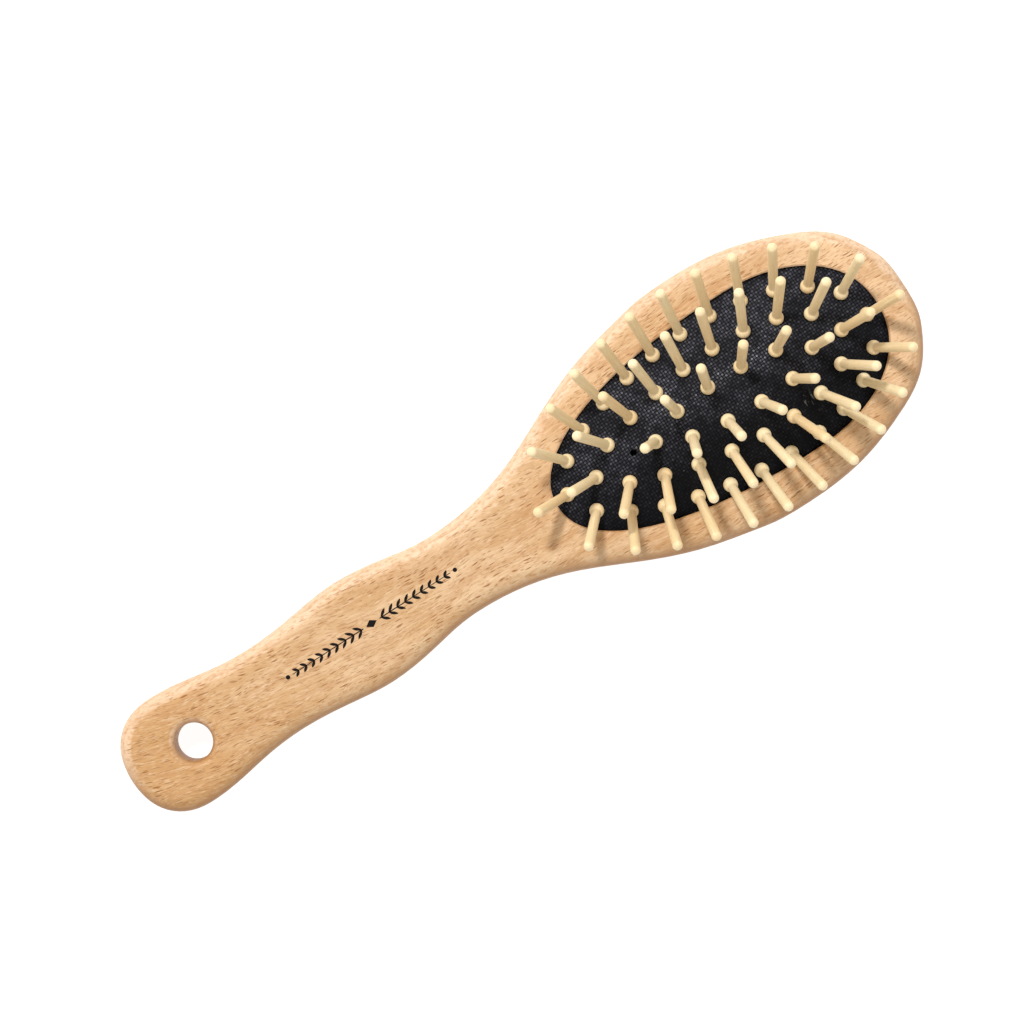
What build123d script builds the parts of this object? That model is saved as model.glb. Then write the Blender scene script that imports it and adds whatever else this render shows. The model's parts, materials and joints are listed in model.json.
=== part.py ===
from build123d import *
import os
from math import atan2, copysign, cos, hypot, pi, radians, sin, sqrt

os.makedirs("parts", exist_ok=True)

# Oval wooden scalp brush. Millimetres.
# Frame: origin at the centre of the flat back, +X towards the head, +Z towards the pin tips.

# Wooden board
LENGTH = 222.0
THICKNESS = 14.0
TAIL_HALF_WIDTH = 14.6
NECK_HALF_WIDTH = 11.7
GRIP_HALF_WIDTH = 13.9
WAIST_HALF_WIDTH = 10.8
HEAD_HALF_WIDTH = 31.95
TAIL_X = -97.0
NECK_X = -70.5
GRIP_X = -46.0
WAIST_X = -18.5
HEAD_X = 63.0
FRONT_ROUND = 4.5
BACK_ROUND = 5.0

# Hanging hole near the tail
HOLE_X = -93.0
HOLE_RADIUS = 4.6
HOLE_ROUND = 2.2

# Oval pocket for the cushion: two half ovals that share one width, a little fuller than ellipses (power 2)
OVAL_X = 71.0
OVAL_BACK = 59.5
OVAL_FRONT = 31.8
OVAL_HALF_WIDTH = 22.0
OVAL_POWER = 2.17
OVAL_STEPS = 48
POCKET_FLOOR = 6.0
MOUTH_CHAMFER = 0.35
GROOVE_DEPTH = 1.5

# Rubber cushion
RIM_TOP = 12.6
FLANGE_THICKNESS = 1.4
SKIN = 1.8
DOME_HEIGHT = 9.6
DOME_ROUNDNESS = 0.6
RIM_CLEARANCE = 0.1
DOME_GRID = 4.0
VENT_X = 33.7
VENT_Y = 1.2
VENT_RADIUS = 0.8

# Pins, measured from the centre of the ball collar along the pin
BALL_RADIUS = 1.8
BALL_LIFT = 1.0
SHAFT_RADIUS = 1.15
TIP_RADIUS = 1.25
PIN_REACH = 20.0
NECK_RADIUS = 0.8
SEAT_CLEARANCE = 0.1
FOOT_RADIUS = 1.5
FOOT_THICKNESS = 0.8
FOOT_DEPTH = BALL_LIFT + SKIN + 0.3

# Pin pattern: three egg-shaped rings, turned a little on the head
PATTERN_X = 57.6
PATTERN_TURN = -1.75
RING_STEPS = 36
LEAN_BACK = 44.0
LEAN_FRONT = 36.0
LEAN_SIDE = 19.0
UPRIGHT_BACK = 0.2
UPRIGHT_FRONT = 0.3


def board_outline():
    """Half outline from tail to toe in smooth stretches, mirrored about the long axis."""
    half_length = LENGTH / 2
    along = (1, 0)
    with BuildSketch() as outline:
        with BuildLine():
            Spline(
                (-half_length, 0),
                (-107.0, 11.0),
                (TAIL_X, TAIL_HALF_WIDTH),
                tangents=[(0, 1), along],
            )
            Spline(
                (TAIL_X, TAIL_HALF_WIDTH),
                (-79.7, 12.4),
                (NECK_X, NECK_HALF_WIDTH),
                (-57.0, 12.7),
                (GRIP_X, GRIP_HALF_WIDTH),
                (-31.0, 12.4),
                (WAIST_X, WAIST_HALF_WIDTH),
                tangents=[along, along],
            )
            Spline(
                (WAIST_X, WAIST_HALF_WIDTH),
                (5.1, 14.8),
                (20.5, 21.6),
                (36.0, 27.6),
                (50.0, 30.8),
                (HEAD_X, HEAD_HALF_WIDTH),
                tangents=[along, along],
            )
            Spline(
                (HEAD_X, HEAD_HALF_WIDTH),
                (80.0, 30.3),
                (93.7, 25.6),
                (104.0, 19.0),
                (109.0, 11.2),
                (half_length, 0),
                tangents=[along, (0, -1)],
            )
            mirror(about=Plane.XZ)
        make_face()
    return outline.sketch


def pocket_outline(grow=0.0):
    """Egg-shaped oval of the pocket mouth, made larger or smaller by grow."""
    points = []
    for step in range(OVAL_STEPS):
        turn = 2 * pi * step / OVAL_STEPS
        reach = OVAL_FRONT if cos(turn) > 0 else OVAL_BACK
        along = copysign(abs(cos(turn)) ** (2 / OVAL_POWER), cos(turn))
        across = copysign(abs(sin(turn)) ** (2 / OVAL_POWER), sin(turn))
        points.append((OVAL_X + (reach + grow) * along, (OVAL_HALF_WIDTH + grow) * across))
    with BuildSketch() as oval:
        with BuildLine():
            Spline(*points, periodic=True)
        make_face()
    return oval.sketch


def oval_share(x, y):
    """0 at the middle of the pocket oval and 1 on its edge."""
    reach = OVAL_BACK if x < OVAL_X else OVAL_FRONT
    along = abs((x - OVAL_X) / reach) ** OVAL_POWER
    across = abs(y / OVAL_HALF_WIDTH) ** OVAL_POWER
    return (along + across) ** (1 / OVAL_POWER)


def dome_z(x, y):
    """Height of the rubber's outer face: a cone with a broad round top that ends at the rim."""
    edge = hypot(1, DOME_ROUNDNESS)
    fall = edge - hypot(oval_share(x, y), DOME_ROUNDNESS)
    return RIM_TOP + DOME_HEIGHT * fall / (edge - DOME_ROUNDNESS)


def dome_face(drop):
    """The dome as one smooth face over the whole pocket, lowered by drop."""
    margin = 2 * DOME_GRID
    back_steps = round((OVAL_BACK + margin) / DOME_GRID)
    front_steps = round((OVAL_FRONT + margin) / DOME_GRID)
    side_steps = round((OVAL_HALF_WIDTH + margin) / DOME_GRID)
    rows = []
    for i in range(-back_steps, front_steps + 1):
        x = OVAL_X + i * DOME_GRID
        row = []
        for j in range(-side_steps, side_steps + 1):
            y = j * DOME_GRID
            row.append(Vector(x, y, dome_z(x, y) - drop))
        rows.append(row)
    return Face.make_surface_from_array_of_points(rows)


def dome_block(grow, base, drop):
    """Everything under the dome, inside the oval, down to the height base."""
    with BuildPart() as block:
        with BuildSketch(Plane.XY.offset(base)):
            add(pocket_outline(grow))
        extrude(amount=2 * DOME_HEIGHT)
        split(bisect_by=dome_face(drop), keep=Keep.BOTTOM)
    return block.part


def ring_path(half_length, shift, half_width, egg):
    """Closed egg-shaped curve through the ball collars of one ring, about the pattern's centre."""
    points = []
    for step in range(RING_STEPS):
        turn = 2 * pi * step / RING_STEPS
        x = shift + half_length * cos(turn)
        y = half_width * sin(turn) * (1 + egg * cos(turn))
        points.append((x, y))
    return Spline(*points, periodic=True)


def pin_plane(x, y, lean, end_share):
    """Plane at the ball collar of the pin at (x, y) of the pattern, with Z along the pin.

    The pins fan out: each leans outwards by lean degrees, and less towards the two ends.
    """
    reach = LEAN_FRONT if x > 0 else LEAN_BACK
    upright = UPRIGHT_FRONT if x > 0 else UPRIGHT_BACK
    outwards = atan2(y / LEAN_SIDE**2, x / reach**2)
    tilt = radians(lean * (1 - upright * end_share**2))
    pattern = Plane(origin=(PATTERN_X, 0, 0), x_dir=Vector(1, 0, 0).rotate(Axis.Z, PATTERN_TURN))
    centre = pattern.from_local_coords(Vector(x, y, 0))
    along = pattern.from_local_coords(
        Vector(x + sin(tilt) * cos(outwards), y + sin(tilt) * sin(outwards), cos(tilt))
    ) - centre
    centre = Vector(centre.X, centre.Y, dome_z(centre.X, centre.Y) + BALL_LIFT)
    return Plane(origin=centre, z_dir=along)


def ring_planes(count, half_length, shift, half_width, egg, lean):
    """Planes of one ring's pins, evenly spaced along the ring from the head end."""
    path = ring_path(half_length, shift, half_width, egg)
    planes = []
    for i in range(count):
        spot = path.position_at(i / count)
        planes.append(pin_plane(spot.X, spot.Y, lean, (spot.X - shift) / half_length))
    return planes


def make_pin(plane):
    """Turned pin: foot inside the cushion, neck, ball collar, shaft and round tip."""
    ball_bottom = -sqrt(BALL_RADIUS**2 - NECK_RADIUS**2)
    ball_top = sqrt(BALL_RADIUS**2 - SHAFT_RADIUS**2)
    foot_bottom = -FOOT_DEPTH - FOOT_THICKNESS
    tip_centre = PIN_REACH - TIP_RADIUS
    foot_round = FOOT_THICKNESS / 2
    with BuildPart() as pin:
        with BuildSketch(Plane(origin=plane.origin, x_dir=plane.x_dir, z_dir=-plane.y_dir)):
            with BuildLine():
                Polyline((0, tip_centre), (0, foot_bottom), (FOOT_RADIUS - foot_round, foot_bottom))
                ThreePointArc(
                    (FOOT_RADIUS - foot_round, foot_bottom),
                    (FOOT_RADIUS, foot_bottom + foot_round),
                    (FOOT_RADIUS - foot_round, -FOOT_DEPTH),
                )
                Polyline(
                    (FOOT_RADIUS - foot_round, -FOOT_DEPTH),
                    (NECK_RADIUS, -FOOT_DEPTH),
                    (NECK_RADIUS, ball_bottom),
                )
                ThreePointArc((NECK_RADIUS, ball_bottom), (BALL_RADIUS, 0), (SHAFT_RADIUS, ball_top))
                Line((SHAFT_RADIUS, ball_top), (TIP_RADIUS, tip_centre))
                CenterArc((0, tip_centre), TIP_RADIUS, 0, 90)
                Line((0, PIN_REACH), (0, tip_centre))
            make_face()
        revolve(axis=Axis(plane.origin, plane.z_dir))
    return pin


# Handle body: one piece of beech with the pocket, its groove and the hanging hole
with BuildPart() as handle_body:
    with BuildSketch():
        add(board_outline())
    extrude(amount=THICKNESS)
    fillet(handle_body.faces().sort_by(Axis.Z)[-1].edges(), FRONT_ROUND)
    fillet(handle_body.faces().sort_by(Axis.Z)[0].edges(), BACK_ROUND)
    with Locations((HOLE_X, 0, THICKNESS)):
        Hole(HOLE_RADIUS)
    fillet(handle_body.edges().filter_by(GeomType.CIRCLE), HOLE_ROUND)
    with BuildSketch(Plane.XY.offset(POCKET_FLOOR)):
        add(pocket_outline())
    extrude(amount=THICKNESS, mode=Mode.SUBTRACT)
    with BuildSketch(Plane.XY.offset(THICKNESS - MOUTH_CHAMFER)):
        add(pocket_outline())
    with BuildSketch(Plane.XY.offset(THICKNESS + MOUTH_CHAMFER)):
        add(pocket_outline(2 * MOUTH_CHAMFER))
    loft(mode=Mode.SUBTRACT)
    with BuildSketch(Plane.XY.offset(RIM_TOP - FLANGE_THICKNESS - RIM_CLEARANCE)):
        add(pocket_outline(GROOVE_DEPTH))
    extrude(amount=FLANGE_THICKNESS + 2 * RIM_CLEARANCE, mode=Mode.SUBTRACT)

handle_body.part.label = "handle_body"
export_step(handle_body.part, "parts/handle_body.step")

# Pins: three rings, the outer one leaning the most
RINGS = {
    "outer_pin": ring_planes(24, half_length=42.0, shift=-0.6, half_width=19.0, egg=0.16, lean=33),
    "middle_pin": ring_planes(18, half_length=34.3, shift=-0.3, half_width=11.7, egg=0.27, lean=28),
    "inner_pin": ring_planes(10, half_length=21.8, shift=3.7, half_width=4.9, egg=0.1, lean=14),
}

for ring_name, planes in RINGS.items():
    for number, plane in enumerate(planes, start=1):
        pin = make_pin(plane)
        pin.part.label = f"{ring_name}_{number:02d}"
        export_step(pin.part, f"parts/{pin.part.label}.step")

# Cushion pad: hollow rubber dome with a flange in the groove, a vent and a seat for each pin
flange_base = RIM_TOP - FLANGE_THICKNESS
dome = dome_block(-RIM_CLEARANCE, flange_base, 0)
hollow = dome_block(-SKIN, flange_base - SKIN, SKIN)
pin_seats = [plane.location for planes in RINGS.values() for plane in planes]

with BuildPart() as cushion_pad:
    add(dome)
    with BuildSketch(Plane.XY.offset(flange_base)):
        add(pocket_outline(GROOVE_DEPTH - 2 * RIM_CLEARANCE))
    extrude(amount=FLANGE_THICKNESS)
    add(hollow, mode=Mode.SUBTRACT)
    with Locations((VENT_X, VENT_Y, RIM_TOP + DOME_HEIGHT)):
        Hole(VENT_RADIUS)
    with Locations(*pin_seats):
        Sphere(BALL_RADIUS + SEAT_CLEARANCE, mode=Mode.SUBTRACT)
        Cylinder(
            NECK_RADIUS + SEAT_CLEARANCE,
            FOOT_DEPTH,
            align=(Align.CENTER, Align.CENTER, Align.MAX),
            mode=Mode.SUBTRACT,
        )

cushion_pad.part.label = "cushion_pad"
export_step(cushion_pad.part, "parts/cushion_pad.step")
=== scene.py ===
import json
import math

import bmesh
import bpy
import numpy as np
from mathutils import Matrix, Vector


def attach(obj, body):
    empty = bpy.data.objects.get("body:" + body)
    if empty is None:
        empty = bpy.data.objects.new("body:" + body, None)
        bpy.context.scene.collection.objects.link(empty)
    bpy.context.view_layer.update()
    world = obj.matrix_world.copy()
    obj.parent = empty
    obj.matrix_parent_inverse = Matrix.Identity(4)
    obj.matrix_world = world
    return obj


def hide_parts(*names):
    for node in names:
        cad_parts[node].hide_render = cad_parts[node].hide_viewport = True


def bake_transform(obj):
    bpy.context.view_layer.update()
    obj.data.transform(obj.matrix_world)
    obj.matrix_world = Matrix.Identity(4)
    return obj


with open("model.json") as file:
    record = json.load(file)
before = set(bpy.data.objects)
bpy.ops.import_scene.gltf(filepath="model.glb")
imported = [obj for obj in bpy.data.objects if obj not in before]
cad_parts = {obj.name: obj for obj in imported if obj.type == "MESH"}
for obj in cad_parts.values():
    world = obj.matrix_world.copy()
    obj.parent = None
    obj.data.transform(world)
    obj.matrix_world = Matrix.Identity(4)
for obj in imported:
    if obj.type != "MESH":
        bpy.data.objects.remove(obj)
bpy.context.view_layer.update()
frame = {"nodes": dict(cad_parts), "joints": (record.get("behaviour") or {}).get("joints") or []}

MM = 0.001

# Pocket oval and rubber dome, in millimetres, as the CAD part has them
OVAL_X = 71.0
OVAL_BACK = 59.5
OVAL_FRONT = 31.8
OVAL_HALF_WIDTH = 22.0
OVAL_POWER = 2.17
RIM_TOP = 12.6
FLANGE_BASE = 11.2
FLANGE_START = 0.4
FLANGE_REACH = 1.3
FLANGE_CHAMFER = 0.15
SKIN = 1.8
DOME_HEIGHT = 9.6
DOME_ROUNDNESS = 0.6
VENT = (33.7, 1.2)
VENT_RADIUS = 0.8
BOARD_TOP = 14.0

# Rubber round each ball collar: its seat, the lip round the seat and the broad dip under the pull of the pin
SEAT_RADIUS = 1.9
LIP_HEIGHT = 0.16
LIP_RADIUS = 2.0
LIP_WIDTH = 0.45
DIP_DEPTH = 0.22
DIP_WIDTH = 3.6

# Woven emboss of the rubber: width and height of a block, grid cells across a block, and its fade at the rim
WEAVE_PITCH = 0.72
WEAVE_HEIGHT = 0.08
WEAVE_STEPS = 3
WEAVE_FADE = 0.03

# Pin profile, in millimetres from the centre of the ball collar
BALL_RADIUS = 1.8
SHAFT_RADIUS = 1.15
TIP_RADIUS = 1.25
NECK_RADIUS = 0.8
NECK_TOP = 2.4
FOOT_RADIUS = 1.5
FOOT_TOP = 3.1
FOOT_THICKNESS = 0.8
FILLET = 0.02
PIN_SEGMENTS = 32

# Printed sprig, in millimetres from its own middle
SPRIG_MIDDLE = (-41.5, 0.75)
LOZENGE = [(-1.5, 0), (0, -1.0), (1.5, 0), (0, 1.0)]
STEM = [(2.3, -0.14), (22.6, -0.09), (22.6, 0.09), (2.3, 0.14)]
DOT_PLACE = 23.9
DOT_RADIUS = 0.55
DOT_CORNERS = 16
LEAF_PAIRS = 9
LEAF_START = 2.7
LEAF_SPACING = 2.25
LEAF_LENGTH = 2.5
LEAF_SHRINK = 0.09
LEAF_WIDTH = 0.72
LEAF_LEAN = 38
INK_DEPTH = 0.02

# Wood: pith line under the board, growth ring spacing, how fast the grain runs off along the handle, and for
# its flecks how much larger than a fleck its own cell is, and where in the cell the fleck ends
PITH = (0.0, 9 * MM, -38 * MM)
RING_STRETCH = (0.06, 1.0, 1.0)
RING_SPACING = 2.1
GRAIN_RUN_OFF = -1.17
FLECK_CELL = (1.5, 2.1, 1.6)
FLECK_END = 0.36

# Camera of the photograph: straight above the board and turned about its own axis
IMAGE_TURN = math.radians(-32.8)
CAMERA_OVER = (1.5, 5.0)
CAMERA_HEIGHT = 0.985
SENSOR_WIDTH = 36.0
LENS = 143.8
FLOOR_HALF_SIZE = 1.6


# ---------------------------------------------------------------- material helpers

def srgb(red, green, blue):
    """Linear colour of an 8-bit display colour."""
    def linear(value):
        value /= 255
        return value / 12.92 if value <= 0.04045 else ((value + 0.055) / 1.055) ** 2.4
    return (linear(red), linear(green), linear(blue), 1.0)


def new_material(name):
    material = bpy.data.materials.new(name)
    material.use_nodes = True
    tree = material.node_tree
    return material, tree, tree.nodes["Principled BSDF"]


def node(tree, kind, inputs=None, **settings):
    made = tree.nodes.new(kind)
    for key, value in settings.items():
        setattr(made, key, value)
    for key, value in (inputs or {}).items():
        if isinstance(value, bpy.types.NodeSocket):
            tree.links.new(value, made.inputs[key])
        else:
            made.inputs[key].default_value = value
    return made


def calc(tree, operation, *values):
    return node(tree, "ShaderNodeMath", dict(enumerate(values)), operation=operation).outputs[0]


def times(tree, product, *factors):
    for factor in factors:
        product = calc(tree, "MULTIPLY", product, factor)
    return product


def vector_calc(tree, operation, *values):
    return node(tree, "ShaderNodeVectorMath", dict(enumerate(values)), operation=operation).outputs[0]


def length_of(tree, vector):
    return node(tree, "ShaderNodeVectorMath", {0: vector}, operation="LENGTH").outputs["Value"]


def axes_of(tree, vector):
    return node(tree, "ShaderNodeSeparateXYZ", {"Vector": vector}).outputs


def ramp(tree, value, low, high, to_low=0.0, to_high=1.0):
    inputs = {"Value": value, "From Min": low, "From Max": high, "To Min": to_low, "To Max": to_high}
    return node(tree, "ShaderNodeMapRange", inputs, interpolation_type="SMOOTHSTEP").outputs[0]


def mixed(tree, share, first, second):
    mix = node(tree, "ShaderNodeMix", data_type="RGBA")
    for index, value in ((0, share), (6, first), (7, second)):
        if isinstance(value, bpy.types.NodeSocket):
            tree.links.new(value, mix.inputs[index])
        else:
            mix.inputs[index].default_value = value
    return mix.outputs[2]


def layered(tree, colour, layers):
    """Lays display colours over a colour one after another, each by its own share."""
    for share, tone in layers:
        colour = mixed(tree, share, colour, srgb(*tone))
    return colour


def add_relief(tree, shader, strength, depth_mm, parts):
    """Bump whose height is the sum of the parts, each a value and its weight."""
    height = 0.0
    for value, weight in parts:
        height = calc(tree, "MULTIPLY_ADD", value, weight, height)
    inputs = {"Strength": strength, "Distance": depth_mm * MM, "Height": height}
    bump = node(tree, "ShaderNodeBump", inputs)
    tree.links.new(bump.outputs["Normal"], shader.inputs["Normal"])


def stretched(tree, vector, x_mm, y_mm, z_mm, shift=(0.0, 0.0, 0.0)):
    """Coordinates in which a cell of x_mm by y_mm by z_mm is one unit."""
    scaled = vector_calc(tree, "MULTIPLY", vector, (1 / (x_mm * MM), 1 / (y_mm * MM), 1 / (z_mm * MM)))
    return vector_calc(tree, "ADD", scaled, shift)


def noise(tree, vector, detail=3.0, roughness=0.5, output="Fac"):
    inputs = {"Vector": vector, "Scale": 1.0, "Detail": detail, "Roughness": roughness}
    return node(tree, "ShaderNodeTexNoise", inputs, noise_dimensions="3D").outputs[output]


def scattered(tree, cells, randomness=1.0):
    """Distance from scattered points, one in each cell, and a random number for each of them."""
    inputs = {"Vector": cells, "Scale": 1.0, "Randomness": randomness}
    voronoi = node(tree, "ShaderNodeTexVoronoi", inputs, feature="F1")
    chance = node(tree, "ShaderNodeSeparateColor", {"Color": voronoi.outputs["Color"]}).outputs["Red"]
    return voronoi.outputs["Distance"], chance


def dashes(tree, vector, size, share, softness, shift):
    """Spindle-shaped marks of the given length, width and depth in mm; share is how many places have one."""
    cell = [side * room for side, room in zip(size, FLECK_CELL)]
    distance, chance = scattered(tree, stretched(tree, vector, *cell, shift))
    mark = ramp(tree, distance, FLECK_END, FLECK_END - softness)
    present = ramp(tree, chance, 1.0 - share, 1.0 - 0.6 * share)
    return times(tree, mark, present)


def object_place(tree):
    return node(tree, "ShaderNodeTexCoord").outputs["Object"]


def upright_share(tree, low, high):
    """1 where the surface faces straight up or down, 0 on its rounded edges and sides."""
    normal = node(tree, "ShaderNodeTexCoord").outputs["Normal"]
    return ramp(tree, calc(tree, "ABSOLUTE", axes_of(tree, normal)["Z"]), low, high)


# ---------------------------------------------------------------- materials

def beech_grain(tree, place):
    """Coordinates that follow the wavering grain, which runs off to one side along the handle."""
    wander = noise(tree, stretched(tree, place, 30, 12, 12), detail=2.0, output="Color")
    wander = vector_calc(tree, "SUBTRACT", wander, (0.5, 0.5, 0.5))
    wander = vector_calc(tree, "MULTIPLY", wander, (0.0, 7 * MM, 7 * MM))
    grain = vector_calc(tree, "ADD", place, wander)
    handle_way = calc(tree, "MINIMUM", axes_of(tree, place)["X"], 0.0)
    run_off = times(tree, handle_way, handle_way, GRAIN_RUN_OFF)
    run_off = node(tree, "ShaderNodeCombineXYZ", {"Y": run_off}).outputs[0]
    return vector_calc(tree, "ADD", grain, run_off)


def beech_material():
    """Sanded beech: soft growth rings, fibre lines and brown ray flecks, all along the board, with painted
    light and shade: a painted highlight on the far side's rounded edges, painted shade on the near side's
    steep sides and painted light that lifts the shade towards the toe.
    """
    material, tree, shader = new_material("beech")
    place = object_place(tree)
    axes = axes_of(tree, place)
    grain = beech_grain(tree, place)

    # where on the board: its two ends, its two long sides, its rounded edges and its steep sides; the toe,
    # the long sides and the steep sides also carry painted light and shade below
    tail = ramp(tree, axes["X"], -60 * MM, -95 * MM)
    toe = ramp(tree, axes["X"], 84 * MM, 102 * MM)
    lit_far_side = ramp(tree, axes["Y"], -8 * MM, 8 * MM)
    shaded_near_side = calc(tree, "SUBTRACT", 1.0, lit_far_side)
    edge = calc(tree, "SUBTRACT", 1.0, upright_share(tree, 0.88, 0.97))
    gentle = upright_share(tree, 0.45, 0.93)
    steep = calc(tree, "SUBTRACT", 1.0, gentle)

    # growth rings
    pith = vector_calc(tree, "MULTIPLY", vector_calc(tree, "SUBTRACT", grain, PITH), RING_STRETCH)
    season = calc(tree, "FRACT", times(tree, length_of(tree, pith), 1 / (RING_SPACING * MM)))
    late = times(tree, ramp(tree, season, 0.4, 0.9), ramp(tree, season, 1.0, 0.93))
    late = times(tree, late, ramp(tree, gentle, 0, 1, 0.2, 0.5))

    cloud = noise(tree, stretched(tree, grain, 26, 7, 7))
    fibre = noise(tree, stretched(tree, grain, 7.0, 0.55, 0.55), roughness=0.65)
    fine = noise(tree, stretched(tree, grain, 1.5, 0.34, 0.6), detail=2.0, roughness=0.6)

    # wood rays cut across: short flecks, crowded on the faces and sparse on the edges
    crowding = ramp(tree, noise(tree, stretched(tree, grain, 12, 5, 9)), 0.32, 0.6, 0.4, 1.0)
    crowding = times(tree, crowding, ramp(tree, upright_share(tree, 0.7, 0.96), 0, 1, 0.3, 1.0))
    large_flecks = times(tree, dashes(tree, grain, (2.5, 0.24, 5.0), 0.8, 0.22, (0.3, 0.7, 0.1)), crowding)
    small_flecks = times(tree, dashes(tree, grain, (1.5, 0.2, 4.0), 0.95, 0.25, (5.3, 2.7, 8.1)), crowding)
    pale_flecks = dashes(tree, grain, (1.9, 0.3, 3.0), 0.8, 0.28, (3.1, 9.2, 4.4))

    # thin wavy fibre lines, broken up
    contour = noise(tree, stretched(tree, grain, 4.2, 0.75, 2.5), detail=2.0)
    contour = calc(tree, "ABSOLUTE", calc(tree, "SUBTRACT", contour, 0.5))
    gaps = noise(tree, stretched(tree, grain, 1.8, 0.6, 3.0), detail=1.0)
    lines = times(tree, ramp(tree, contour, 0.035, 0.0), ramp(tree, gaps, 0.42, 0.6), gentle)

    # ray ends as round spots on the edges of the board
    spots = ramp(tree, scattered(tree, stretched(tree, place, 1.5, 1.5, 1.2), randomness=0.8)[0], 0.5, 0.25)

    base = mixed(tree, ramp(tree, cloud, 0.3, 0.7), srgb(197, 155, 108), srgb(214, 180, 140))
    colour = layered(tree, base, (
        (times(tree, tail, 0.8), (190, 142, 88)),
        # painted light: the wood is painted lighter towards the toe, to lift the pins' shadows there
        (times(tree, toe, 0.6), (226, 190, 150)),
        # painted highlight: the rounded edges on the far side, which face the light, are painted paler
        (times(tree, edge, lit_far_side, 0.65), (236, 206, 177)),
        (late, (187, 139, 92)),
        (ramp(tree, fibre, 0.45, 0.75, 0.0, 0.6), (224, 192, 154)),
        (ramp(tree, fibre, 0.48, 0.25, 0.0, 0.6), (186, 142, 96)),
        (ramp(tree, fine, 0.52, 0.78, 0.0, 0.5), (182, 134, 86)),
        (times(tree, pale_flecks, 0.45), (228, 198, 164)),
        # painted shade: the steep sides on the near side, which face away from the light, are painted dark
        # brown
        (times(tree, steep, shaded_near_side, 0.62), (146, 94, 46)),
        (times(tree, lines, 0.55), (172, 121, 70)),
        (times(tree, small_flecks, 0.75), (158, 106, 56)),
        (times(tree, large_flecks, 0.9), (146, 92, 44)),
        (times(tree, spots, edge, 0.35), (186, 136, 82)),
    ))
    tree.links.new(colour, shader.inputs["Base Color"])

    rough = calc(tree, "ADD", ramp(tree, fibre, 0.3, 0.7, 0.44, 0.58), times(tree, large_flecks, 0.15))
    tree.links.new(rough, shader.inputs["Roughness"])
    shader.inputs["Specular IOR Level"].default_value = 0.25
    relief = ((fine, -0.5), (fibre, 0.7), (large_flecks, -1.0), (small_flecks, -0.6), (lines, -0.7))
    add_relief(tree, shader, 0.8, 0.07, relief)
    return material


def pin_material():
    """Pale polished hardwood with fine grain along the pin; each pin has its own tone."""
    material, tree, shader = new_material("pin_wood")
    own = node(tree, "ShaderNodeObjectInfo").outputs["Random"]
    shift = node(tree, "ShaderNodeCombineXYZ", {0: own, 1: own, 2: own}).outputs[0]
    shift = vector_calc(tree, "MULTIPLY", shift, (0.09, 0.05, 2.8))
    place = vector_calc(tree, "ADD", object_place(tree), shift)

    streak = noise(tree, stretched(tree, place, 0.5, 0.5, 8.0), roughness=0.6)
    cloud = noise(tree, stretched(tree, place, 2.2, 2.2, 6.0), detail=2.0)
    pores = dashes(tree, place, (0.3, 0.3, 1.4), 0.5, 0.25, (2, 5, 1))

    colour = layered(tree, srgb(239, 219, 177), (
        (ramp(tree, own, 0.25, 1.0, 0.0, 0.8), (231, 200, 150)),
        (ramp(tree, cloud, 0.35, 0.7, 0.0, 0.3), (232, 207, 162)),
        (ramp(tree, streak, 0.5, 0.74, 0.0, 0.45), (228, 198, 148)),
        (ramp(tree, streak, 0.46, 0.28, 0.0, 0.5), (252, 240, 210)),
        (times(tree, pores, 0.35), (206, 170, 120)),
    ))
    tree.links.new(colour, shader.inputs["Base Color"])

    tree.links.new(ramp(tree, streak, 0.3, 0.7, 0.36, 0.5), shader.inputs["Roughness"])
    shader.inputs["Specular IOR Level"].default_value = 0.3
    shader.inputs["Coat Weight"].default_value = 0.05
    shader.inputs["Coat Roughness"].default_value = 0.28
    add_relief(tree, shader, 0.5, 0.03, ((streak, 1.0), (pores, -0.6)))
    return material


def weave_waves(tree, place):
    """Waves of the weave across the brush, and their product with those along it.

    The product is positive on the blocks that lie along the brush and negative on those across it.
    """
    turns = vector_calc(tree, "MULTIPLY", place, (math.pi / (WEAVE_PITCH * MM),) * 3)
    sine = node(tree, "ShaderNodeVectorMath", {0: turns}, operation="SINE").outputs[0]
    waves = axes_of(tree, sine)
    return waves["Y"], times(tree, waves["X"], waves["Y"])


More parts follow.
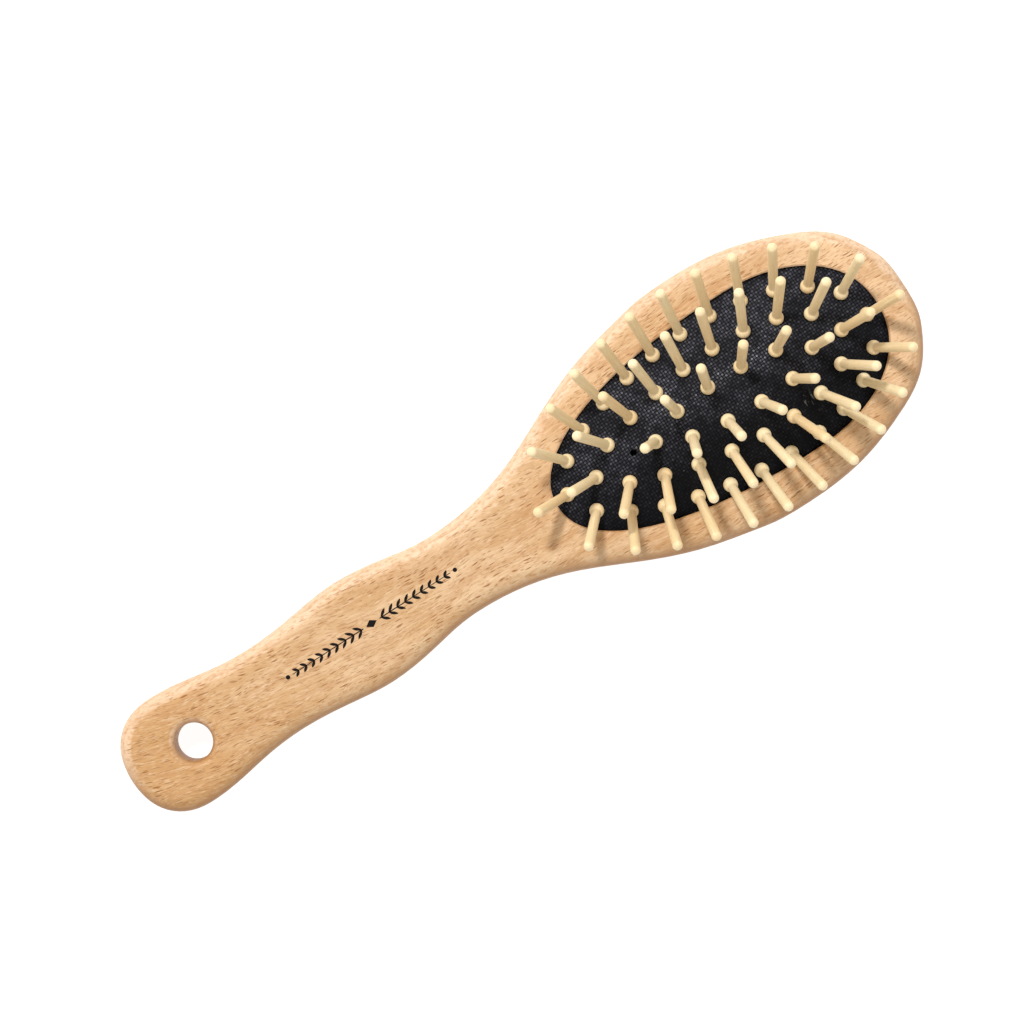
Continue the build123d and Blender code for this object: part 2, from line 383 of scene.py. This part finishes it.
def rubber_material():
    """Black moulded rubber: satin on the raised weave, dull in its gaps, with dust and a few scuffs; its
    raised blocks are painted lighter grey, partly as wear and partly as a painted sheen that is strongest on
    the far side, where the light falls.
    """
    material, tree, shader = new_material("black_rubber")
    place = object_place(tree)
    grit = noise(tree, stretched(tree, place, 0.25, 0.25, 0.25), detail=2.0)

    # wear and painted sheen on the raised blocks: uneven, and painted lightest on the far side, where the
    # light falls
    rows, weave = weave_waves(tree, place)
    raised = ramp(tree, calc(tree, "ABSOLUTE", weave), 0.1, 0.5)
    lying = times(tree, ramp(tree, weave, -0.3, 0.3, 0.55, 1.0), ramp(tree, rows, -0.5, 0.5, 0.75, 1.0))
    small_patches = noise(tree, stretched(tree, place, 1.4, 1.4, 9.0), detail=1.0)
    large_patches = noise(tree, stretched(tree, place, 7, 7, 7))
    patchy = times(
        tree,
        ramp(tree, small_patches, 0.34, 0.66, 0.45, 1.0),
        ramp(tree, large_patches, 0.36, 0.62, 0.4, 1.0),
    )
    # painted sheen: how much of the blocks' lighter colour each side gets, from the near side to the far
    # side; it also sets the weave's bump by side
    sheen_side = ramp(tree, axes_of(tree, place)["Y"], -14 * MM, 8 * MM, 0.2, 1.0)
    wear_and_sheen = times(tree, raised, lying, patchy, sheen_side)

    distance, chance = scattered(tree, stretched(tree, place, 2.6, 2.6, 2.6))
    dust = times(tree, ramp(tree, distance, 0.08, 0.04), ramp(tree, chance, 0.6, 0.9))

    # a small scuffed patch near the toe
    offset = vector_calc(tree, "SUBTRACT", place, (76 * MM, -12.5 * MM, 19 * MM))
    patch = ramp(tree, length_of(tree, offset), 6.0 * MM, 1.5 * MM)
    scuff = noise(tree, stretched(tree, place, 0.5, 3.0, 3.0), detail=2.0, roughness=0.7)
    scuff = times(tree, ramp(tree, scuff, 0.62, 0.7), patch)

    colour = layered(tree, srgb(7, 7, 9), (
        # raised blocks painted lighter grey: partly wear, partly painted sheen
        (wear_and_sheen, (76, 77, 88)),
        (times(tree, dust, 0.35), (120, 120, 120)),
        (times(tree, scuff, 0.45), (140, 138, 134)),
    ))
    tree.links.new(colour, shader.inputs["Base Color"])
    tree.links.new(ramp(tree, wear_and_sheen, 0.0, 1.0, 0.6, 0.36), shader.inputs["Roughness"])
    tree.links.new(ramp(tree, wear_and_sheen, 0.0, 1.0, 0.08, 0.42), shader.inputs["Specular IOR Level"])
    add_relief(tree, shader, 0.8, WEAVE_HEIGHT, ((grit, 0.15), (times(tree, raised, sheen_side), 1.0)))
    return material


def ink_material():
    """Thin black printing ink that lets a little wood grain through."""
    material, tree, shader = new_material("black_ink")
    grain = noise(tree, stretched(tree, object_place(tree), 2.5, 0.2, 0.2))
    colour = mixed(tree, ramp(tree, grain, 0.5, 0.8), srgb(16, 10, 9), srgb(40, 28, 22))
    tree.links.new(colour, shader.inputs["Base Color"])
    tree.links.new(ramp(tree, grain, 0.3, 0.7, 0.5, 0.65), shader.inputs["Roughness"])
    shader.inputs["Specular IOR Level"].default_value = 0.1
    return material


def floor_material():
    """Plain pale floor that glows a little, so that it stays white through the hanging hole."""
    material, tree, shader = new_material("pale_floor")
    cloud = noise(tree, stretched(tree, object_place(tree), 300, 300, 300), detail=2.0)
    tree.links.new(mixed(tree, cloud, srgb(146, 146, 146), srgb(150, 150, 150)), shader.inputs["Base Color"])
    shader.inputs["Roughness"].default_value = 0.9
    shader.inputs["Emission Color"].default_value = (1.0, 1.0, 1.0, 1.0)
    shader.inputs["Emission Strength"].default_value = 0.9
    return material


# ---------------------------------------------------------------- geometry helpers

def new_mesh(name, points, faces, material):
    """Smooth mesh with its faces turned outwards."""
    mesh = bpy.data.meshes.new(name)
    mesh.from_pydata([tuple(p) for p in points], [], [tuple(f) for f in faces])
    mesh.validate()
    shape = bmesh.new()
    shape.from_mesh(mesh)
    bmesh.ops.recalc_face_normals(shape, faces=shape.faces)
    shape.to_mesh(mesh)
    shape.free()
    mesh.materials.append(material)
    mesh.shade_smooth()
    return mesh


def linked_object(name, data):
    made = bpy.data.objects.new(name, data)
    bpy.context.scene.collection.objects.link(made)
    return made


def oval_reach(x):
    """Half length of the pocket oval, which is blunter towards the toe."""
    return np.where(x < OVAL_X, OVAL_BACK, OVAL_FRONT)


def oval_share(x, y):
    """0 at the middle of the pocket oval and 1 on its edge."""
    along = np.abs((x - OVAL_X) / oval_reach(x)) ** OVAL_POWER
    across = np.abs(y / OVAL_HALF_WIDTH) ** OVAL_POWER
    return (along + across) ** (1 / OVAL_POWER)


def dome_z(x, y):
    """Height of the rubber's dome, which flattens towards its crown."""
    edge = math.hypot(1, DOME_ROUNDNESS)
    ring = np.hypot(oval_share(x, y), DOME_ROUNDNESS)
    return RIM_TOP + DOME_HEIGHT * (edge - ring) / (edge - DOME_ROUNDNESS)


# ---------------------------------------------------------------- cushion pad

def weave_height(x, y):
    """Raised blocks of the weave, fading out at the rim."""
    blocks = np.abs(np.sin(math.pi * x / WEAVE_PITCH) * np.sin(math.pi * y / WEAVE_PITCH))
    return WEAVE_HEIGHT * blocks * np.clip((1 - oval_share(x, y)) / WEAVE_FADE, 0, 1)


def cushion_top(x, y, seats):
    """Outer face of the rubber: woven dome with a dip, a soft lip and a round seat at every ball collar."""
    base = dome_z(x, y)
    seat_face = np.full_like(x, np.inf)
    for centre in seats:
        away = np.hypot(x - centre.x / MM, y - centre.y / MM)
        base = base + LIP_HEIGHT * np.exp(-((away - LIP_RADIUS) / LIP_WIDTH) ** 2)
        base = base - DIP_DEPTH * np.exp(-((away / DIP_WIDTH) ** 2))
        inside = np.sqrt(np.clip(SEAT_RADIUS**2 - away**2, 0, None))
        seat_face = np.where(away < SEAT_RADIUS, np.minimum(seat_face, centre.z / MM - inside), seat_face)
    return np.minimum(base + weave_height(x, y), seat_face)


def snap_edges(x, y, outer, vent):
    """Moves the stepped edge points of the grid onto the oval and onto the vent's circle."""
    share = oval_share(x, y)
    x = np.where(outer, OVAL_X + (x - OVAL_X) / share, x)
    y = np.where(outer, y / share, y)
    away = np.maximum(np.hypot(x - VENT[0], y - VENT[1]), 1e-6)
    x = np.where(vent, VENT[0] + (x - VENT[0]) * VENT_RADIUS / away, x)
    y = np.where(vent, VENT[1] + (y - VENT[1]) * VENT_RADIUS / away, y)
    return x, y


def edge_loops(quads):
    """Ordered loops of points along the open edges of the quads."""
    directed = set()
    for quad in quads:
        for k in range(4):
            directed.add((quad[k], quad[(k + 1) % 4]))
    following = {a: b for a, b in directed if (b, a) not in directed}
    loops = []
    while following:
        start = next(iter(following))
        loop, spot = [], start
        while spot in following:
            loop.append(spot)
            spot = following.pop(spot)
        loops.append(loop)
    return loops


def bridge(first, second):
    """Band of quads between two loops of as many points."""
    count = len(first)
    return [(first[i], first[(i + 1) % count], second[(i + 1) % count], second[i]) for i in range(count)]


def build_cushion(seats, material):
    """Closed skin of the air cushion: woven top, plain underside, flange round the rim and a vent hole."""
    step = WEAVE_PITCH / WEAVE_STEPS
    first_x = math.floor((OVAL_X - OVAL_BACK) / step) - 2
    last_x = math.ceil((OVAL_X + OVAL_FRONT) / step) + 2
    last_y = math.ceil(OVAL_HALF_WIDTH / step) + 2
    columns = np.arange(first_x, last_x + 1) * step
    rows = np.arange(-last_y, last_y + 1) * step
    x, y = np.meshgrid(columns, rows, indexing="ij")

    middle_x, middle_y = x[:-1, :-1] + step / 2, y[:-1, :-1] + step / 2
    in_oval = oval_share(middle_x, middle_y) < 1
    in_vent = np.hypot(middle_x - VENT[0], middle_y - VENT[1]) < VENT_RADIUS
    kept = in_oval & ~in_vent

    def touches(cells):
        """Grid points that are a corner of any of the cells."""
        found = np.zeros(x.shape, bool)
        for i in (0, 1):
            for j in (0, 1):
                found[i : i + cells.shape[0], j : j + cells.shape[1]] |= cells
        return found

    used, solid = touches(kept), ~touches(~kept)
    x, y = snap_edges(x, y, used & touches(~in_oval), used & touches(in_vent))
    number = np.full(x.shape, -1)
    number[used] = np.arange(used.sum())
    x, y = x[used], y[used]
    top = np.column_stack([x, y, cushion_top(x, y, seats)])
    under = np.column_stack([x, y, np.maximum(dome_z(x, y) - SKIN, FLANGE_BASE)])

    # the hidden underside is coarser: away from the edges, each block of its points becomes one point
    coarse = number.copy()
    for i in range(0, solid.shape[0] - WEAVE_STEPS, WEAVE_STEPS):
        for j in range(0, solid.shape[1] - WEAVE_STEPS, WEAVE_STEPS):
            block = (slice(i, i + WEAVE_STEPS), slice(j, j + WEAVE_STEPS))
            if solid[block].all():
                coarse[block] = number[i + WEAVE_STEPS // 2, j + WEAVE_STEPS // 2]

    quads, hidden = [], []
    for i, j in zip(*np.nonzero(kept)):
        around = [(i, j), (i + 1, j), (i + 1, j + 1), (i, j + 1)]
        quads.append(tuple(int(number[spot]) for spot in around))
        corners = tuple(dict.fromkeys(int(coarse[spot]) for spot in reversed(around)))
        if len(corners) > 2:
            hidden.append(corners)
    shown = sorted({corner for face in hidden for corner in face})
    below = {corner: len(top) + k for k, corner in enumerate(shown)}
    points = [*top, *under[shown]]
    faces = quads + [tuple(below[corner] for corner in face) for face in hidden]

    flange = [
        (FLANGE_START, RIM_TOP),
        (FLANGE_REACH - FLANGE_CHAMFER, RIM_TOP),
        (FLANGE_REACH, RIM_TOP - FLANGE_CHAMFER),
        (FLANGE_REACH, FLANGE_BASE + FLANGE_CHAMFER),
        (FLANGE_REACH - FLANGE_CHAMFER, FLANGE_BASE),
        (FLANGE_START, FLANGE_BASE),
    ]
    loops = edge_loops(quads)
    rim = max(loops, key=len)
    for loop in loops:
        previous = loop
        if loop is rim:
            for grow, z in flange:
                ring = []
                for k in loop:
                    px, py = top[k][:2]
                    reach = float(oval_reach(px))
                    wide = OVAL_X + (px - OVAL_X) * (reach + grow) / reach
                    ring.append(len(points))
                    points.append((wide, py * (OVAL_HALF_WIDTH + grow) / OVAL_HALF_WIDTH, z))
                faces += bridge(ring, previous)
                previous = ring
        faces += bridge([below[k] for k in loop], previous)

    name = "rubber_cushion"
    return linked_object(name, new_mesh(name, np.array(points) * MM, faces, material))


# ---------------------------------------------------------------- pins

def pin_profile(reach):
    """Half section of a pin from foot to tip as (radius, height) in millimetres."""
    def arc(radius, height, size, start, end, steps):
        angles = np.linspace(math.radians(start), math.radians(end), steps)
        return [(radius + size * math.cos(a), height + size * math.sin(a)) for a in angles]

    half = FOOT_THICKNESS / 2
    below = math.degrees(math.acos(NECK_RADIUS / BALL_RADIUS))
    above = math.degrees(math.acos(SHAFT_RADIUS / BALL_RADIUS))
    profile = [(0.0, -FOOT_TOP - FOOT_THICKNESS)]
    profile += arc(FOOT_RADIUS - half, -FOOT_TOP - half, half, -90, 90, 7)
    profile += [(NECK_RADIUS, -FOOT_TOP + FILLET), (NECK_RADIUS, -NECK_TOP)]
    profile += arc(0, 0, BALL_RADIUS, -below, above - 3, 15)
    start = BALL_RADIUS * math.sin(math.radians(above))
    end = reach - TIP_RADIUS
    profile.append((SHAFT_RADIUS + FILLET, start + 4 * FILLET))
    for share in np.linspace(0.03, 1, 16)[:-1]:
        radius = SHAFT_RADIUS + (TIP_RADIUS - SHAFT_RADIUS) * share
        profile.append((radius, start + (end - start) * share))
    profile += arc(0, end, TIP_RADIUS, 0, 90, 9)[:-1]
    profile.append((0.0, reach))
    return profile


def lathe_mesh(name, profile, segments, material):
    """The profile turned about Z."""
    points, faces, rings = [], [], []
    for radius, height in profile:
        if radius == 0:
            rings.append([len(points)])
            points.append((0.0, 0.0, height * MM))
            continue
        ring = []
        for k in range(segments):
            turn = 2 * math.pi * k / segments
            ring.append(len(points))
            points.append((radius * math.cos(turn) * MM, radius * math.sin(turn) * MM, height * MM))
        rings.append(ring)
    for low, high in zip(rings, rings[1:]):
        for k in range(segments):
            after = (k + 1) % segments
            if len(low) == 1:
                faces.append((low[0], high[after], high[k]))
            elif len(high) == 1:
                faces.append((low[k], low[after], high[0]))
            else:
                faces.append((low[k], low[after], high[after], high[k]))
    return new_mesh(name, points, faces, material)


def pin_places():
    """For every pin body: centre of its ball collar, direction and reach, from the frame."""
    places = {}
    for joint in frame["joints"]:
        if joint["type"] != "hinge":
            continue
        centre = Vector(joint["pos_m"])
        points = (v.co for v in frame["nodes"][joint["child"]].data.vertices)
        tip = max(points, key=lambda point: (point - centre).length)
        places[joint["child"]] = (centre, (tip - centre).normalized(), (tip - centre).length)
    return places


def build_pins(places, material):
    """One turned pin on every pin body."""
    reach = max(length for _, _, length in places.values()) / MM
    mesh = lathe_mesh("turned_pin", pin_profile(reach), PIN_SEGMENTS, material)
    for name, (centre, along, _) in places.items():
        pin = linked_object("turned_" + name, mesh)
        turn = Vector((0, 0, 1)).rotation_difference(along).to_matrix().to_4x4()
        pin.matrix_world = Matrix.Translation(centre) @ turn
        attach(pin, name)
        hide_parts(name)


# ---------------------------------------------------------------- printed ornament

def leaf_outline(length, width, steps=9):
    """Pointed leaf from the origin along +X."""
    upper = [(length * t, width / 2 * math.sin(math.pi * t) ** 0.8) for t in np.linspace(0, 1, steps)]
    lower = [(px, -py) for px, py in reversed(upper[1:-1])]
    return upper + lower


def placed(outline, x, y, degrees):
    """The outline turned by the degrees and moved to x, y."""
    turn = math.radians(degrees)
    c, s = math.cos(turn), math.sin(turn)
    return [(x + c * px - s * py, y + s * px + c * py) for px, py in outline]


def build_ornament(material):
    """A printed sprig in ink along the handle: stem, paired leaves and a lozenge in the middle."""
    middle_x, middle_y = SPRIG_MIDDLE
    ink_low, ink_high = BOARD_TOP - INK_DEPTH, BOARD_TOP + INK_DEPTH
    turns = np.linspace(0, 2 * math.pi, DOT_CORNERS + 1)[:-1]
    dot = [(DOT_RADIUS * math.cos(turn), DOT_RADIUS * math.sin(turn)) for turn in turns]
    shapes = [placed(LOZENGE, middle_x, middle_y, 0)]
    for side in (1, -1):
        half = [STEM]
        for pair in range(LEAF_PAIRS):
            leaf = leaf_outline(LEAF_LENGTH - LEAF_SHRINK * pair, LEAF_WIDTH)
            for up in (1, -1):
                half.append(placed(leaf, LEAF_START + LEAF_SPACING * pair, 0, up * LEAF_LEAN))
        for outline in half:
            shapes.append([(middle_x + side * px, middle_y + py) for px, py in outline])
        shapes.append(placed(dot, middle_x + side * DOT_PLACE, middle_y, 0))

    points, faces = [], []
    for shape in shapes:
        first, count = len(points), len(shape)
        points += [(px * MM, py * MM, ink_low * MM) for px, py in shape]
        points += [(px * MM, py * MM, ink_high * MM) for px, py in shape]
        faces.append(tuple(range(first, first + count)))
        faces.append(tuple(range(first + 2 * count - 1, first + count - 1, -1)))
        for k in range(count):
            after = (k + 1) % count
            faces.append((first + k, first + after, first + count + after, first + count + k))
    sprig = linked_object("printed_sprig", new_mesh("printed_sprig", points, faces, material))
    sprig.data.shade_flat()
    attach(sprig, "board")


# ---------------------------------------------------------------- stage

def area_light(name, look_at, direction, distance, size, power):
    light_data = bpy.data.lights.new(name, "AREA")
    light_data.size = size
    light_data.energy = power
    light = linked_object(name, light_data)
    light.location = look_at + direction.normalized() * distance
    light.rotation_euler = (-direction).to_track_quat("-Z", "Y").to_euler()


def build_stage():
    """Floor, the photograph's camera, a small key light for the pins' shadows and soft fill light."""
    size = FLOOR_HALF_SIZE
    points = [(-size, -size, 0), (size, -size, 0), (size, size, 0), (-size, size, 0)]
    floor = linked_object("floor", new_mesh("floor", points, [(0, 1, 2, 3)], floor_material()))

    look_at = Vector((*CAMERA_OVER, BOARD_TOP)) * MM
    camera_data = bpy.data.cameras.new("camera")
    camera_data.sensor_width = SENSOR_WIDTH
    camera_data.lens = LENS
    camera = linked_object("camera", camera_data)
    camera.location = look_at + Vector((0, 0, CAMERA_HEIGHT))
    camera.rotation_euler = (0, 0, IMAGE_TURN)
    bpy.context.scene.camera = camera

    # directions in the picture's own right, up and towards the camera
    right = Vector((math.cos(IMAGE_TURN), math.sin(IMAGE_TURN), 0))
    up = Vector((-math.sin(IMAGE_TURN), math.cos(IMAGE_TURN), 0))
    near = Vector((0, 0, 1))
    area_light("key", look_at, -0.2 * right + 0.46 * up + 1.0 * near, distance=1.3, size=0.15, power=11.3)
    area_light("side", look_at, -1.0 * right + 0.9 * up + 0.8 * near, distance=1.3, size=0.5, power=2.4)

    world = bpy.data.worlds.new("soft_white")
    world.use_nodes = True
    background = world.node_tree.nodes["Background"]
    background.inputs["Color"].default_value = (1.0, 1.0, 1.0, 1.0)
    background.inputs["Strength"].default_value = 0.7
    bpy.context.scene.world = world
    bpy.context.scene.view_settings.view_transform = "Standard"


# ---------------------------------------------------------------- the object

build_stage()
board = frame["nodes"]["handle_body"]
board.data.materials.clear()
board.data.materials.append(beech_material())

places = pin_places()
build_pins(places, pin_material())

cushion = build_cushion([centre for centre, _, _ in places.values()], rubber_material())
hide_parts("cushion_pad")
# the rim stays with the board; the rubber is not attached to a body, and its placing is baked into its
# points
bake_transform(cushion)

build_ornament(ink_material())
